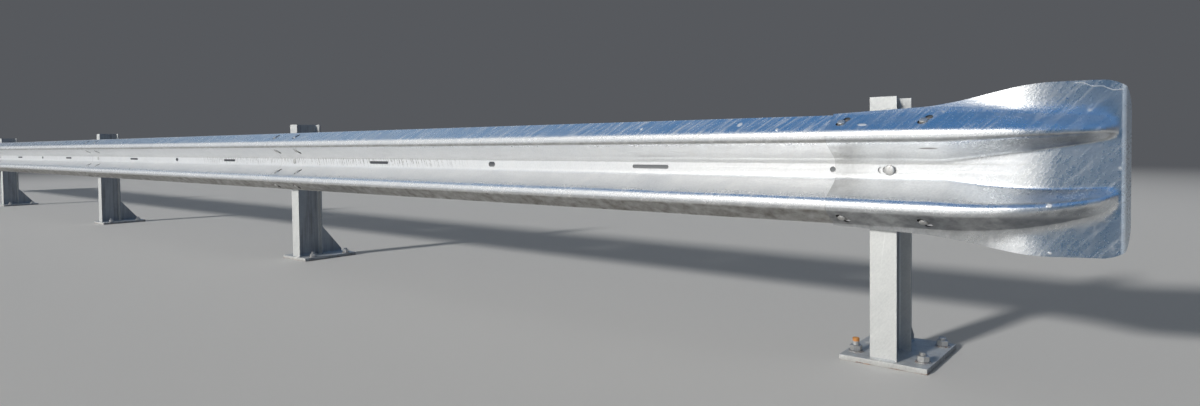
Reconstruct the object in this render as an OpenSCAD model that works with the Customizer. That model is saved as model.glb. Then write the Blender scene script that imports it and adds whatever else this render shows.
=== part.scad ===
// Corrugated-beam crash barrier on bolt-down posts: a straight run of four bays
// that ends in a flared fishtail at each side.
// X runs along the barrier, Y away from the traffic, Z up. The origin is the
// underside of the middle post's base plate, level with its front flange.
// Every beam laps over the one to its left, so each is turned by a hair.

/* [Run] */
// Distance between post centres
bay = 3200; // [2000:100:4000]
// Height of the beam's centre line
beam_z = 547; // [460:1:590]
// Length of the lap where two beams are spliced
lap = 292; // [270:2:320]
// Splice centre to the right of the post's web
splice_dx = 16; // [12:1:24]

/* [Beam section] */
// Height over the lips
beam_h = 310; // [306:1:316]
// Depth from the crests to the back of the valley
beam_d = 83; // [80:1:86]
// Sheet thickness
sheet = 3; // [2.5:0.5:4]
// Distance of each crest from the centre line
crest_z = 97; // [95:1:99]
// Half width of the flat valley
valley_z = 14.4; // [13:0.1:15]
// Middle radius of the crests and of the valley's bends
bend_r = 25.5; // [24:0.5:27]
// Slope of the flanks, from upright
flank = 55; // [54:1:56]
// Middle radius of the lips
lip_r = 9; // [7:1:11]
// Slope at which a lip ends, from upright
lip_slope = 36; // [28:1:40]
// Straight end of a lip
lip_len = 2; // [1:0.5:3]

/* [Holes] */
// Splice slots: distance of a column from the splice centre
column_dx = 108; // [100:1:112]
// Splice slots: length and width
splice_slot = [46, 19]; // [18:1:48]
// Slant of those slots, from level
splice_slant = 55; // [40:1:65]
// Post bolt slot of a beam: length and width
post_slot = [32, 18]; // [16:1:50]
// Post bolt slot of a fishtail: length and width
tail_post_slot = [54, 18]; // [16:1:60]
// Slot halfway along a beam: length and width
mid_slot = [38, 20]; // [16:1:50]
// Long slots a quarter of the bay from each splice: length and width
long_slot = [150, 13]; // [10:1:180]
// Hole beside the last splice
side_hole_d = 16; // [10:1:20]
// Distance of that hole's centre from the lapping sheet's edge
side_hole_gap = 11; // [9:1:20]

/* [Post] */
// Height of a post's top
post_top = 750; // [720:5:800]
// Depth of the rolled section
post_d = 140; // [120:5:160]
// Width of its flanges
post_w = 73; // [64:1:82]
// Web thickness
web_t = 4.7; // [4:0.1:7]
// Flange thickness
flange_t = 6.9; // [5:0.1:10]
// Root radius
root_r = 7; // [5:1:12]
// Hole for the post bolt
bolt_hole_d = 18; // [16:1:20]
// Distance of that hole to the right of the web, which it clears
bolt_dx = 20; // [18:1:24]

/* [Foot] */
// Base plate: width, depth and thickness
plate = [240, 310, 15]; // [12:1:340]
// Plate edge in front of the flange
plate_front = 14; // [10:1:30]
// Anchor holes: spacing across and front to back
anchor_grid = [185, 200]; // [160:5:220]
// Front anchor holes behind the flange's face
anchor_front = 48; // [40:1:60]
// Anchor hole diameter
anchor_d = 22; // [18:1:26]
// Gusset: reach behind the post, height and thickness
gusset = [135, 160, 10]; // [8:1:180]
// Blunt ends of the gusset at the top and at the back
gusset_blunt = [14, 16]; // [8:1:24]
// Corner cut off the gusset over the weld
gusset_snipe = 12; // [8:1:16]

/* [Fishtail] */
// Length from the splice centre to the end, along the sheet
tail_len = 562; // [540:2:600]
// Radius of the two outer corners
tail_corner = 78; // [60:1:90]
// Widening of each edge over the straight part: at the lap and at the flare
tail_ease = [3, 13]; // [2:1:16]
// Further widening over the flare
tail_flare = 41; // [20:1:50]
// Rise of the flare's centre
tail_rise = 8; // [0:1:12]
// Drift of the upper and of the lower crest towards the end
crest_drift = [5, 40]; // [0:1:45]
// Width left of a hump at its end, as shares: towards the valley and the edge
hump_left = [0.38, 0.56]; // [0.2:0.02:0.7]
// Backward sweep of the flare
tail_sweep = 15; // [5:1:20]
// Turn of the end lip past the sweep
tail_fold = 60; // [40:5:75]

/* [Hidden] */
$fa = 10;
$fs = 0.8;
bays = 4;
posts = bays + 1;
bore_clear = 12;            // reach of a cutter on each side of the sheet
beam_steps = [6, 12, 4];    // chords in a valley bend, a crest and a lip
tail_steps = [3, 8, 2];     // the same in a fishtail

// Fit of the lapped sheets
seat = 0.05;                            // clearance between lapped flanks
nest = (sheet + seat) / cos(flank);     // step of one sheet over the next
yaw = atan(nest / bay);                 // turn that puts one end behind, one before
back = (post_w / 2 - splice_dx) * tan(yaw);

function post_x(i) = (i - (posts + 1) / 2) * bay;
function splice_x(i) = post_x(i) + splice_dx;

// Middle line of the upper half of the section, as [y, z]
valley_c = [-sheet / 2 - bend_r, valley_z];
crest_c = [-beam_d + sheet / 2 + bend_r, crest_z];
function on_arc(c, r, a) = c + r * [cos(a), sin(a)];
lip_from_end = [
    lip_r * (cos(lip_slope) - cos(flank)) + lip_len * sin(lip_slope),
    lip_r * (sin(flank) - sin(lip_slope)) + lip_len * cos(lip_slope)
];
flank_in = on_arc(crest_c, bend_r, 180 + flank);
flank_out = on_arc(crest_c, bend_r, 180 - flank);
lip_z = (beam_h - sheet * sin(lip_slope)) / 2 - lip_from_end.y;
lip_start = [flank_out.x + (lip_z - flank_out.y) * tan(flank), lip_z];
lip_c = lip_start + lip_r * [-cos(flank), sin(flank)];
lip_end = on_arc(lip_c, lip_r, -lip_slope) + lip_len * [sin(lip_slope), cos(lip_slope)];

// Middles of the flanks, where the splice slots sit
inner_mid = (on_arc(valley_c, bend_r, flank) + flank_in) / 2;
outer_mid = (flank_out + lip_start) / 2;

module beam_colour() { color([0.72, 0.75, 0.78]) children(); }
module post_colour() { color([0.62, 0.64, 0.65]) children(); }

// One face of the upper half, off the middle line by d: valley bend, crest and lip
function half_face(d, steps) = concat(
    [for (k = [0:steps[0]]) on_arc(valley_c, bend_r + d, flank * k / steps[0])],
    [for (k = [0:steps[1]])
        on_arc(crest_c, bend_r - d, 180 + flank - 2 * flank * k / steps[1])],
    [for (k = [0:steps[2]])
        on_arc(lip_c, lip_r + d, -flank + (flank - lip_slope) * k / steps[2])]
);
function upper_face(d) = concat(
    half_face(d, beam_steps),
    [lip_end + d * [cos(lip_slope), -sin(lip_slope)]]
);
function reversed(points) = [for (k = [len(points) - 1:-1:0]) points[k]];
function flipped(points) = [for (p = points) [p.x, -p.y]];

// The whole section: up the front, down the back, and back up the front
module beam_section() {
    front = upper_face(-sheet / 2);
    rear = upper_face(sheet / 2);
    polygon(concat(front, reversed(rear), flipped(rear), reversed(flipped(front))));
}

// Cutter for a slot with round ends: size = [length, width]
module slot(size) {
    reach = (size.x - size.y) / 2;
    for (side = [-1, 1])
        translate([side * reach, 0, -bore_clear])
            cylinder(d = size.y, h = 2 * bore_clear);
    translate([-reach, -size.y / 2, -bore_clear])
        cube([2 * reach, size.y, 2 * bore_clear]);
}

module valley_slot(x, size) {
    translate([x, -sheet / 2, 0])
        rotate([90, 0, 0])
            slot(size);
}

// Splice slot square to a flank: up = 1 where the flank climbs towards the back.
// Every slot leans towards its crest on the left.
module flank_slot(x, mid, side, up, hand = 1) {
    translate([x, mid.x, side * mid.y])
        rotate([up * (90 - flank), 0, 0])
            rotate([0, 0, hand * splice_slant])
                slot(splice_slot);
}

module splice_slots(x) {
    for (dx = [-column_dx, column_dx], side = [-1, 1]) {
        flank_slot(x + dx, outer_mid, side, side);
        flank_slot(x + dx, inner_mid, side, -side);
    }
    valley_slot(x, post_slot);
}

// A fishtail takes the outer bolts only; hand is -1 in the one that is mirrored
module tail_slots(hand) {
    for (dx = [-column_dx, column_dx], side = [-1, 1])
        flank_slot(dx, outer_mid, side, side, hand);
    valley_slot(0, tail_post_slot);
}

module beam(i) {
    beam_colour()
        translate([splice_x(i), -nest - back, beam_z])
            rotate([0, 0, yaw])
                difference() {
                    translate([-lap / 2, 0, 0])
                        rotate([90, 0, 90])
                            linear_extrude(bay + lap)
                                beam_section();
                    splice_slots(0);
                    splice_slots(bay);
                    valley_slot(bay / 2, mid_slot);
                    valley_slot(bay / 4, long_slot);
                    valley_slot(3 * bay / 4, long_slot);
                    if (i == bays)
                        translate([bay - lap / 2 - side_hole_gap, 0, 0])
                            rotate([90, 0, 0])
                                cylinder(d = side_hole_d, h = 2 * bore_clear, center = true);
                }
}

// Fishtail: the middle surface is one row of points for each station along it
half_line = concat([[-sheet / 2, 0]], half_face(0, tail_steps));
foot = len(half_line) - 1;
edge_steps = 3;             // chords in the flat edge outside a hump

flare_from = 92;
flare_to = 382;
fade_from = lap / 2;        // the humps keep their full size over the lap
fade_to = 505;
hump_ease = [1.16, 1.7];    // how late the humps narrow: towards the valley and the edge
drift_ease = 2.2;           // how late the crests drift
flatten = [474, 524];       // stretch in which what is left of a hump goes flat
sweep_from = 288;
sweep_len = 110;
fold_at = 524;
fold_len = 10;

function clamp01(t) = min(1, max(0, t));
function ease(t) = let (u = clamp01(t)) u * u * (3 - 2 * u);
function between(s, a, b) = (s - a) / (b - a);

function widening(s) = tail_ease[0] + tail_ease[1] * clamp01(between(s, -lap / 2, lap / 2))
    + tail_flare * ease(between(s, flare_from, flare_to));
function rise(s) = tail_rise * ease(between(s, 80, 480));
function corner_cut(s) = let (over = s - (tail_len - tail_corner))
    over <= 0 ? 0 : tail_corner - sqrt(max(0, tail_corner ^ 2 - over ^ 2));
function fade(s) = clamp01(between(s, fade_from, fade_to));
function inner_share(s) = 1 - (1 - hump_left[0]) * fade(s) ^ hump_ease[0];
function outer_share(s) = 1 - (1 - hump_left[1]) * fade(s) ^ hump_ease[1];
function depth_share(s) = (inner_share(s) + outer_share(s)) / 2
    * (1 - ease(between(s, flatten[0], flatten[1])));

// One point of a section: side is 1 above the centre line and -1 below it
function tail_yz(s, j, side) = let (
        k = min(j, foot),
        p = half_line[k],
        share = p.y < crest_z ? inner_share(s) : outer_share(s),
        crest = side * crest_z + fade(s) ^ drift_ease * crest_drift[side > 0 ? 0 : 1],
        z0 = k == 0 ? rise(s) : crest + side * (p.y - crest_z) * share,
        y0 = -sheet / 2 + (p.x + sheet / 2) * depth_share(s),
        edge = rise(s) + side * (beam_h / 2 + widening(s) - corner_cut(s)),
        t = max(0, j - foot) / edge_steps
    ) [y0 + t * depth_share(s), z0 + t * (edge - z0)];

// Way of the sheet seen from above, as [length, turn] stretches
way = [
    [sweep_from, 0],
    [sweep_len, tail_sweep],
    [fold_at - sweep_from - sweep_len, 0],
    [fold_len, tail_fold],
    [tail_len, 0]
];
function travel(s, k = 0, x = 0, y = 0, a = 0) = let (
        d = min(s, way[k][0]),
        turn = way[k][1] * d / way[k][0],
        r = turn == 0 ? 0 : way[k][0] / way[k][1] * 180 / PI,
        x1 = turn == 0 ? x + d * cos(a) : x + r * (sin(a + turn) - sin(a)),
        y1 = turn == 0 ? y + d * sin(a) : y - r * (cos(a + turn) - cos(a))
    ) s <= way[k][0] ? [x1, y1, a + turn] : travel(s - way[k][0], k + 1, x1, y1, a + turn);

function tail_point(s, j, side) = let (
        w = travel(s),
        p = tail_yz(s, j, side)
    ) [w[0] - p.x * sin(w[2]), w[1] + p.x * cos(w[2]), p.y];

corner_from = tail_len - tail_corner;
flare_steps = 12;
stations = concat(
    [-lap / 2, flare_from],
    [for (k = [0:flare_steps]) fade_from + (corner_from - fade_from) * k / flare_steps],
    [for (a = [7.5, 15]) corner_from + tail_corner * sin(a)],
    [for (k = [0:4]) fold_at + fold_len * k / 4],
    [for (a = [45:15:90]) corner_from + tail_corner * sin(a)]
);
rows = len(stations);
last = foot + edge_steps;
cols = 2 * last + 1;

tail_mid = [for (s = stations) concat(
    [for (j = [last:-1:1]) tail_point(s, j, -1)],
    [for (j = [0:last]) tail_point(s, j, 1)]
)];
function unit(v) = v / norm(v);
function tail_normal(i, j) = unit(cross(
    tail_mid[min(i + 1, rows - 1)][j] - tail_mid[max(i - 1, 0)][j],
    tail_mid[i][min(j + 1, cols - 1)] - tail_mid[i][max(j - 1, 0)]
));
tail_skin = [for (side = [-1, 1], i = [0:rows - 1], j = [0:cols - 1])
    tail_mid[i][j] + side * sheet / 2 * tail_normal(i, j)];
function at(skin, i, j) = (skin * rows + i) * cols + j;
function quad(a, b, c, d) = [[a, b, c], [a, c, d]];
tail_quads = concat(
    [for (i = [0:rows - 2], j = [0:cols - 2])
        quad(at(0, i, j), at(0, i + 1, j), at(0, i + 1, j + 1), at(0, i, j + 1))],
    [for (i = [0:rows - 2], j = [0:cols - 2])
        quad(at(1, i, j), at(1, i, j + 1), at(1, i + 1, j + 1), at(1, i + 1, j))],
    [for (i = [0:rows - 2])
        quad(at(0, i, 0), at(1, i, 0), at(1, i + 1, 0), at(0, i + 1, 0))],
    [for (i = [0:rows - 2])
        quad(at(0, i, cols - 1), at(0, i + 1, cols - 1), at(1, i + 1, cols - 1), at(1, i, cols - 1))],
    [for (j = [0:cols - 2])
        quad(at(0, 0, j), at(0, 0, j + 1), at(1, 0, j + 1), at(1, 0, j))],
    [for (j = [0:cols - 2])
        quad(at(0, rows - 1, j), at(1, rows - 1, j), at(1, rows - 1, j + 1), at(0, rows - 1, j + 1))]
);
tail_faces = [for (q = tail_quads, f = q) f];

module fishtail(hand) {
    beam_colour()
        difference() {
            polyhedron(tail_skin, tail_faces);
            tail_slots(hand);
        }
}

module fishtail_right() {
    translate([splice_x(posts), -nest - back, beam_z])
        rotate([0, 0, yaw])
            fishtail(1);
}

module fishtail_left() {
    translate([splice_x(1), -back, beam_z])
        rotate([0, 0, yaw])
            mirror([1, 0, 0])
                fishtail(-1);
}

module root_fillet() {
    difference() {
        square(root_r);
        translate([root_r, root_r]) circle(root_r);
    }
}

module post_section() {
    for (y = [0, post_d - flange_t])
        translate([-post_w / 2, y]) square([post_w, flange_t]);
    translate([-web_t / 2, flange_t / 2]) square([web_t, post_d - flange_t]);
    for (mx = [0, 1], my = [0, 1])
        translate([0, post_d / 2])
            mirror([mx, 0]) mirror([0, my])
                translate([web_t / 2, flange_t - post_d / 2])
                    root_fillet();
}

module post(i) {
    post_colour()
        difference() {
            translate([post_x(i), 0, plate.z])
                linear_extrude(post_top - plate.z)
                    post_section();
            translate([post_x(i) + bolt_dx, flange_t / 2, beam_z])
                rotate([90, 0, 0])
                    cylinder(d = bolt_hole_d, h = 2 * flange_t, center = true);
        }
}

module base_plate(i) {
    post_colour()
        difference() {
            translate([post_x(i) - plate.x / 2, -plate_front, 0])
                cube(plate);
            for (dx = [-0.5, 0.5], row = [0, 1])
                translate([
                    post_x(i) + dx * anchor_grid.x,
                    anchor_front + row * anchor_grid.y,
                    -plate.z
                ])
                    cylinder(d = anchor_d, h = 3 * plate.z);
        }
}

module gusset_outline() {
    polygon([
        [gusset_snipe, 0],
        [gusset.x, 0],
        [gusset.x, gusset_blunt.y],
        [gusset_blunt.x, gusset.y],
        [0, gusset.y],
        [0, gusset_snipe]
    ]);
}

module gusset(i) {
    post_colour()
        translate([post_x(i) - gusset.z / 2, post_d, plate.z])
            rotate([90, 0, 90])
                linear_extrude(gusset.z)
                    gusset_outline();
}

for (i = [1:posts]) {
    base_plate(i);
    post(i);
    gusset(i);
}
for (i = [1:bays])
    beam(i);
fishtail_left();
fishtail_right();
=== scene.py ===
import math
import random
from math import cos, pi, radians, sin

import bmesh
import bpy
from mathutils import Euler, Matrix, Vector


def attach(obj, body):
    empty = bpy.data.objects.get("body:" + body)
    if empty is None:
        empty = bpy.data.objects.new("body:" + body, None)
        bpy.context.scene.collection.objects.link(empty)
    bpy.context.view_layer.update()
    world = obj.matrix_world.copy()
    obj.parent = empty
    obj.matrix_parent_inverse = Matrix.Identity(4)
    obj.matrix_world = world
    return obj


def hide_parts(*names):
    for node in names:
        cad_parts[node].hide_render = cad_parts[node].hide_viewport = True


# Looks for a galvanised crash barrier. Lengths are in millimetres and mm turns
# them into metres; the traffic side is -Y and the run lies along X.
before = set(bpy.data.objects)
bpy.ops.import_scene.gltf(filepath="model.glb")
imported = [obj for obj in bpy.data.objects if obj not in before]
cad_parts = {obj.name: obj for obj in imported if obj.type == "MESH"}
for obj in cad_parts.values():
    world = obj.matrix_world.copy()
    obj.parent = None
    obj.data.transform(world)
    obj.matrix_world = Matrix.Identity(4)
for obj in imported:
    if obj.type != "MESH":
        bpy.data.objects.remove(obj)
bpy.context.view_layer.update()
mm = 0.001
rng = random.Random(7)
run = {"bay": 3200, "posts": 5, "splice": 16, "lap": 292, "seat": 0.05}
beamZ = 547

print("stage: camera")
view = {
    "place": (7.064, -2.063, 0.630), "yaw": 39.38, "down": 1.60, "roll": -0.61,
    "lens": 21.83, "sensor": 36, "shift": (0.0033, -0.033), "reach": (0.05, 900),
}


def makeCamera():
    camera = bpy.data.objects.new("camera", bpy.data.cameras.new("camera"))
    bpy.context.scene.collection.objects.link(camera)
    camera.location = view["place"]
    aim = Euler((radians(90 - view["down"]), 0, radians(view["yaw"])), "XYZ").to_matrix()
    camera.rotation_euler = (aim @ Matrix.Rotation(radians(view["roll"]), 3, "Z")).to_euler()
    camera.data.lens, camera.data.sensor_width = view["lens"], view["sensor"]
    camera.data.shift_x, camera.data.shift_y = view["shift"]
    camera.data.clip_start, camera.data.clip_end = view["reach"]
    bpy.context.scene.camera = camera


makeCamera()


def maths(kind, swapped=False):
    # A method that adds one maths node and gives its output as a new wire
    def method(self, other=0.0):
        node = self.tree.nodes.new("ShaderNodeMath")
        node.operation = kind
        for slot, value in zip(node.inputs, (other, self) if swapped else (self, other)):
            if isinstance(value, Wire):
                self.tree.links.new(value.socket, slot)
            else:
                slot.default_value = value
        return Wire(self.tree, node.outputs[0])
    return method


# Shader maths: a wire wraps a socket and can be added, multiplied and so on
class Wire:
    def __init__(self, tree, socket):
        self.tree, self.socket = tree, socket

    __add__ = __radd__ = maths("ADD")
    __mul__ = __rmul__ = maths("MULTIPLY")
    __sub__, __rsub__ = maths("SUBTRACT"), maths("SUBTRACT", True)
    __truediv__, __abs__ = maths("DIVIDE"), maths("ABSOLUTE")
    atMost, atLeast = maths("MINIMUM"), maths("MAXIMUM")
    wave, fraction = maths("SINE"), maths("FRACT")


class NodeTree:
    # add() makes any node: its type, its settings, then its inputs by name or number
    def __init__(self, tree):
        self.tree = tree

    def add(self, kind, settings, values, out=0):
        node = self.tree.nodes.new(kind)
        for key, value in settings.items():
            setattr(node, key, value)
        for key, value in values.items():
            self.plug(node.inputs[key], value)
        return Wire(self.tree, node.outputs[out])

    def plug(self, slot, value):
        if isinstance(value, Wire):
            self.tree.links.new(value.socket, slot)
        elif slot.type == "RGBA":
            slot.default_value = (*value, 1)
        else:
            slot.default_value = value

    def ramp(self, value, low, high):
        # 0 below low and 1 above high, smooth between them
        return self.add("ShaderNodeMapRange", {"interpolation_type": "SMOOTHSTEP"}, {
            "Value": value, "From Min": low, "From Max": high})

    def fall(self, value, low, high):
        return 1 - self.ramp(value, low, high)

    def mix(self, share, first, second):
        return self.add("ShaderNodeMix", {"data_type": "RGBA"}, {0: share, 6: first, 7: second}, 2)

    def cover(self, colour, *layers):
        # Lays colours over the first one; a layer is its share and its colour
        for part, over in layers:
            colour = self.mix(part, colour, over)
        return colour

    def vector(self, kind, first, second=(0, 0, 0), out=0):
        return self.add("ShaderNodeVectorMath", {"operation": kind}, {0: first, 1: second}, out)

    def along(self, where, direction):
        return self.vector("DOT_PRODUCT", where, direction, "Value")


class Paint(NodeTree):
    # A seed moves the noises, so that two lapping sheets never share a pattern
    apart = (3.1, 5.3, 7.7)

    def __init__(self, name, seed=0):
        self.material = bpy.data.materials.new(name)
        self.material.use_nodes = True
        super().__init__(self.material.node_tree)
        self.shader = self.tree.nodes["Principled BSDF"]
        self.place = self.add("ShaderNodeTexCoord", {}, {}, "Object")
        self.spot = self.vector("ADD", self.place, [seed * step for step in self.apart])

    def stretch(self, scale, turn, move):
        # The place turned about Y, then scaled: a large scale makes a noise narrow that way
        turned = self.add("ShaderNodeMapping", {}, {
            "Vector": self.spot, "Rotation": (0, radians(turn), 0)})
        return self.add("ShaderNodeMapping", {}, {
            "Vector": turned, "Scale": scale, "Location": move})

    def pattern(self, stretch=None, turn=0, move=(0, 0, 0), scale=1.0, detail=5.0, rough=0.65, warp=0.0,
                span=None):
        # A noise from one row of settings, brought up over its span if it has one
        where = self.stretch(stretch, turn, move) if stretch else self.spot
        noise = self.add("ShaderNodeTexNoise", {}, {
            "Vector": where, "Scale": scale, "Detail": detail, "Roughness": rough, "Distortion": warp}, "Fac")
        return self.ramp(noise, *span) if span else noise

    def facing(self, direction):
        return self.along(self.add("ShaderNodeTexCoord", {}, {}, "Normal"), direction)

    def finish(self, colour, rough, metal=0.0, relief=None, depth=1 * mm, strength=1.0):
        if relief:
            rough, metal = rough.atMost(1.0), metal.atLeast(0.0)
            self.plug(self.shader.inputs["Normal"], self.add("ShaderNodeBump", {}, {
                "Height": relief, "Distance": depth, "Strength": strength}, "Normal"))
        for key, value in (("Base Color", colour), ("Roughness", rough), ("Metallic", metal)):
            self.plug(self.shader.inputs[key], value)
        return self.material


print("stage: materials")
sheetLook = {
    "bright": (0.90, 0.905, 0.91), "dull": (0.73, 0.74, 0.75), "bloom": (0.82, 0.82, 0.81),
    "stain": (0.26, 0.26, 0.25), "metal": 0.97, "smooth": 0.22, "rough": 0.36,
    "streaks": 1.0, "scratches": 0.45, "sway": 1.2, "dents": 0.9, "grain": 0.45, "ridges": 0.5,
}
tailLook = dict(sheetLook, bright=(0.87, 0.885, 0.90), dull=(0.62, 0.64, 0.66),
                streaks=0.5, sway=0.7, dents=0.35, grain=0.35)
postLook = {
    "bright": (0.76, 0.77, 0.75), "dull": (0.64, 0.65, 0.64), "bloom": (0.80, 0.80, 0.78),
    "stain": (0.45, 0.42, 0.38), "metal": 0.45, "smooth": 0.46, "rough": 0.60,
    "streaks": 0.4, "scratches": 0.15, "sway": 0.3, "dents": 0.3, "grain": 0.2, "ridges": 0.0,
}
boltLook = {
    "bright": (0.66, 0.66, 0.65), "dull": (0.46, 0.45, 0.43), "bloom": (0.72, 0.71, 0.68),
    "stain": (0.30, 0.24, 0.19), "metal": 0.75, "smooth": 0.34, "rough": 0.52,
    "streaks": 0.2, "scratches": 0.1, "sway": 0.0, "dents": 0.4, "grain": 0.3, "ridges": 0.0,
}
rustLook = {"light": (0.50, 0.21, 0.06), "dark": (0.19, 0.09, 0.05), "fresh": (0.72, 0.36, 0.13)}
grimeColour = (0.16, 0.14, 0.12)

# The zinc's noises, each a row of settings for Paint.pattern
zincNoise = {
    "clouds": {"stretch": (1.6, 4.0, 4.0), "scale": 2.4, "detail": 5.0, "rough": 0.6},
    "patches": {"scale": 16.0, "detail": 6.0, "rough": 0.62, "warp": 0.4},
    "dapple": {"stretch": (34, 34, 24), "turn": -40, "detail": 1.5, "rough": 0.45},
    "speckle": {"stretch": (190, 190, 115), "turn": -35, "detail": 2.0, "rough": 0.5},
    "fine": {"scale": 480.0, "detail": 2.0, "rough": 0.5},
    "drained": {"stretch": (62, 5, 4), "turn": -45, "detail": 4.0, "rough": 0.62},
    "dribbles": {"stretch": (170, 11, 9), "turn": -40, "detail": 3.0, "rough": 0.6},
    "rolled": {"stretch": (1.2, 70, 70), "scale": 1.4, "detail": 3.0, "rough": 0.5},
    "bloom": {"stretch": (9, 9, 5), "move": (1, 5, 8), "scale": 2.0, "detail": 7.0, "rough": 0.7,
              "warp": 0.9},
    "blobs": {"stretch": (16, 16, 16), "move": (4, 2, 6), "detail": 2.0, "rough": 0.55},
    "spots": {"stretch": (26, 26, 18), "move": (7, 3, 1), "scale": 2.2, "detail": 6.0, "rough": 0.72},
    "steep": {"stretch": (9, 9, 420), "turn": 58, "detail": 2.0, "rough": 0.55},
    "level": {"stretch": (7, 7, 520), "turn": 9, "move": (3, 0, 0), "detail": 2.0, "rough": 0.55},
    "sway": {"stretch": (1.4, 7, 7), "scale": 2.0, "detail": 2.0, "rough": 0.4},
}
# From where to where a noise comes up; below, how much each layer counts
zincSpan = {
    "wear": (0.36, 0.64), "speckle": (0.32, 0.68), "dribbles": (0.48, 0.62), "drained": (0.34, 0.54),
    "drips": (0.46, 0.72), "bloom": (0.60, 0.76), "blobs": (0.72, 0.77), "spots": (0.66, 0.76),
    "steep": (0.72, 0.77), "level": (0.72, 0.77), "scratched": (0.46, 0.58),
}
zincShare = {
    "wear": (0.5, 0.5), "shade": (0.35, 0.15, 0.15, 0.35), "drips": (0.45, 0.75),
    "pale": (0.6, 0.45, 0.8), "stain": 0.4, "rough": (0.12, 0.10), "metal": (0.62, 0.20), "fine": 0.12,
}
scratchColour = (0.95, 0.96, 0.97)


def weighted(layers, shares):
    return sum(layer * part for layer, part in zip(layers, shares))


def zincLayers(paint, look):
    # Colour, roughness, metal and relief shared by every galvanised surface
    noise = {name: paint.pattern(**row) for name, row in zincNoise.items()}

    def shown(name, span=None):
        return paint.ramp(noise[name], *zincSpan[span or name])

    wear = paint.ramp(weighted((noise["clouds"], noise["patches"]), zincShare["wear"]), *zincSpan["wear"])
    shade = weighted((wear, noise["rolled"], noise["dapple"], shown("speckle")), zincShare["shade"])
    thin = shown("dribbles") * shown("drained")
    drips = weighted((shown("drained", "drips"), thin), zincShare["drips"]) * look["streaks"]
    bloom, spots = shown("bloom"), shown("spots")
    pale = weighted((drips, bloom, shown("blobs")), zincShare["pale"]).atMost(1.0)
    scratch = shown("steep").atLeast(shown("level")) * shown("patches", "scratched")
    colour = paint.cover(look["dull"], (shade, look["bright"]), (pale, look["bloom"]),
                         (spots * zincShare["stain"], look["stain"]),
                         (scratch * look["scratches"], scratchColour))
    rough = look["rough"] - (look["rough"] - look["smooth"]) * shade
    rough = rough + weighted((bloom, noise["fine"] - 0.5), zincShare["rough"])
    metal = look["metal"] - weighted((pale, spots), zincShare["metal"])
    relief = [noise[name] * look[key] for name, key in
              (("sway", "sway"), ("dapple", "dents"), ("speckle", "grain"), ("rolled", "ridges"))]
    return colour, rough, metal, sum(relief, noise["fine"] * zincShare["fine"])


# Marks on the sheets: heights count from the beam's centre line, sizes in millimetres
sheetMarks = {
    "torn": {"stretch": (26, 26, 26), "detail": 4.0, "rough": 0.6},
    "crumbs": {"stretch": (95, 95, 60), "detail": 4.0, "rough": 0.65},
    "sheltered": (-74, -60, 62, 76), "matt": (0.86, 0.86, 0.84), "mattShare": 0.18, "mattRough": 0.25,
    # The line at height 18 is a painted shade along the upper crease of the valley
    "creaseShade": (18, 3), "creaseShadeShare": 0.30, "creaseShadeTorn": 5, "dirtMetal": 0.40, "dirtRough": 0.18, "lineSoft": 0.4,
    "ovalSpan": (0.4, 1.3),
    "blobs": ((6802, -77, 6), (6798, -196, 4), (5986, 135, 9), (5620, 128, 6), (6120, 118, 5)),
    "blobFlat": 0.8, "blobTorn": 8, "light": (0.93, 0.93, 0.92), "lightShare": 0.6, "lightRise": 0.8,
}
# Painted shade with road film: it darkens the flanks that face down, as if they mirrored dark ground
filmAndShadeMarks = {
    "colour": (0.20, 0.19, 0.17), "down": (0.38, 0.72), "downTorn": 0.25, "top": (-114, -101), "topTorn": 16,
    "lineSpan": (52, 62, 92, 100), "lineFrom": (0.36, 0.56), "lineTo": (0.70, 0.80), "lineTorn": 0.2,
    "line": 0.62, "share": 0.78, "torn": 1.2,
}
dripMarks = {
    "valley": (-26, -12, 10, 24), "along": (1850, 2300, 4300, 4750), "pitch": 90, "lean": 0.004,
    "random": 0.9, "torn": 0.5, "crumbs": 0.9, "span": (0.04, 0.26), "crumbled": (-0.10, 0.06), "share": 0.8,
}
lapMarks = {
    "at": -130, "turns": 20.5, "line": (1.5, 4.5), "share": 0.6, "shade": (6280, 6390),
    "shadeShare": (0.30, 0.8),
}
# On the fishtail: painted shade under the humps and along the lap, and a pale blue painted sky reflection on
# the lip
tailMarks = {
    "tailFilmAndShade": (0.20, 0.205, 0.21), "matt": 0.30, "mattTo": (6480, 6680), "filmAndShade": (0.15, 0.17, 0.20),
    "shade": (6600, 6830), "shadeDown": (0.08, 0.70), "shadeTorn": 0.4, "underShadeEnd": (6860, 6905),
    "underShadeShare": (0.62, 0.9), "foldAt": (6933, 6937), "lip": (0.58, 0.68, 0.78), "lipShare": (0.65, 0.9),
    "lipMetal": 0.7, "scratch": ((6532, 60), (24, 2.2)), "scratchShare": 0.75,
    "chip": ((6366, 125), (14, 3.5)), "chipLean": 0.9,
    "run": {"start": (6850, 215), "slope": -0.25, "wave": 2.2, "length": 38, "half": 1.3, "share": 0.7,
            "ends": (6842, 6850, 6934, 6940)},
}


def between(paint, value, span):
    # 1 between the inner two of four values, fading to 0 at the outer two
    low, full, fade, high = span
    return paint.ramp(value, low, full) * paint.fall(value, fade, high)


def oval(paint, across, height, centre, size):
    # 1 inside an upright oval on the traffic side of the sheet, 0 outside it
    sideways, upward = (across - centre[0]) / size[0], (height - centre[1]) / size[1]
    return paint.fall(sideways * sideways + upward * upward, *sheetMarks["ovalSpan"])


def thinLine(paint, away, half):
    return paint.fall(away, half * sheetMarks["lineSoft"], half)


def zincRun(paint, across, height):
    # A thin wavy run of zinc near the fishtail's top corner
    mark = tailMarks["run"]
    start, top = mark["start"]
    gone = across - start
    line = top + gone * mark["slope"] + (gone * (2 * pi / mark["length"])).wave() * mark["wave"]
    ends = between(paint, across, mark["ends"])
    return thinLine(paint, abs(height - line), mark["half"]) * ends * mark["share"]


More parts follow.
